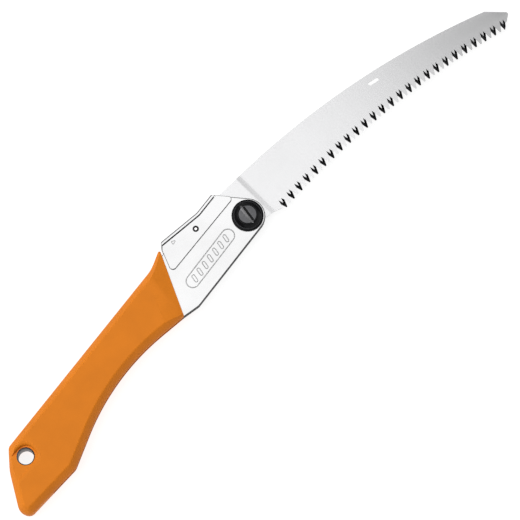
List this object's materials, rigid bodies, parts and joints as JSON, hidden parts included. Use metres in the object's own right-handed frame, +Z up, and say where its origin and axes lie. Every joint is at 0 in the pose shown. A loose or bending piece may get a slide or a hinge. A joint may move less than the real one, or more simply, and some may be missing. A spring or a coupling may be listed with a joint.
{
  "type": "folding pruning saw",
  "caption": "Folding pruning saw with a curved pull-cut blade, a sprung back lock, a coin-slot pivot bolt and a rubber grip with a hang hole, shown open.",
  "frame": {"origin": "on the surface the saw lies on, under the middle of the open saw's bounding box", "axes": "+X towards the blade's nose, +Y towards the back of the blade and the lock lever, +Z up along the pivot bolt, out of its slotted head"},
  "size_m": [0.4622, 0.0694, 0.02],
  "materials": {
    "blade_steel": "satin, taper ground and hard chrome plated, with mirror-dark bevels ground on the teeth",
    "nickel": "bright nickel plated pressed steel sheet",
    "grip_rubber": "matte orange moulded rubber",
    "cap_black": "glossy black moulded",
    "bolt_black": "blackened steel, matte",
    "pin_steel": "peened bright steel",
    "plain_steel": "zinc plated",
    "bronze": "oiled bronze",
    "nylon": "black nylon"
  },
  "bodies": {
    "frame": {"handle_frame": "nickel", "grip": "grip_rubber", "hang_eyelet": "nickel", "tail_spacer": "nylon", "spring_seat": "plain_steel", "lever_pin": "pin_steel", "lever_spring": "plain_steel", "pivot_sleeve": "plain_steel", "friction_washer_upper": "bronze", "friction_washer_lower": "bronze", "spring_washer": "plain_steel", "pivot_nut": "plain_steel", "nut_cap": "cap_black", "nut_washer": "plain_steel"},
    "blade": {"blade": "blade_steel"},
    "lever": {"lock_lever": "nickel", "lock_pawl": "plain_steel"},
    "bolt_washer": {"bolt_washer": "cap_black"},
    "bolt": {"pivot_bolt": "bolt_black", "bolt_cap": "cap_black"}
  },
  "joints": [
    {"name": "blade_fold", "type": "hinge", "parent": "frame", "child": "blade", "pos_m": [0.01171, 0.0072, 0.01], "axis": [0, 0, -1], "range_deg": [0, 166.5]},
    {"name": "lever_press", "type": "hinge", "parent": "frame", "child": "lever", "pos_m": [-0.01889, 0.0248, 0.01], "axis": [0, 0, 1], "range_deg": [-5, 2], "stiffness_Nm_per_rad": 0.3, "springref_deg": -17.19, "deforming": ["lever_spring"]},
    {"name": "bolt_lift", "type": "slide", "parent": "frame", "child": "bolt_washer", "axis": [0, 0, 1], "range_m": [0, 0.002]},
    {"name": "bolt_turn", "type": "hinge", "parent": "bolt_washer", "child": "bolt", "pos_m": [0.01171, 0.0072, 0.01], "axis": [0, 0, 1], "range_deg": [0, 720]}
  ],
  "couplings": [
    {"joint": "bolt_turn", "follows": "bolt_lift", "rad_per_m": 6283.2}
  ]
}
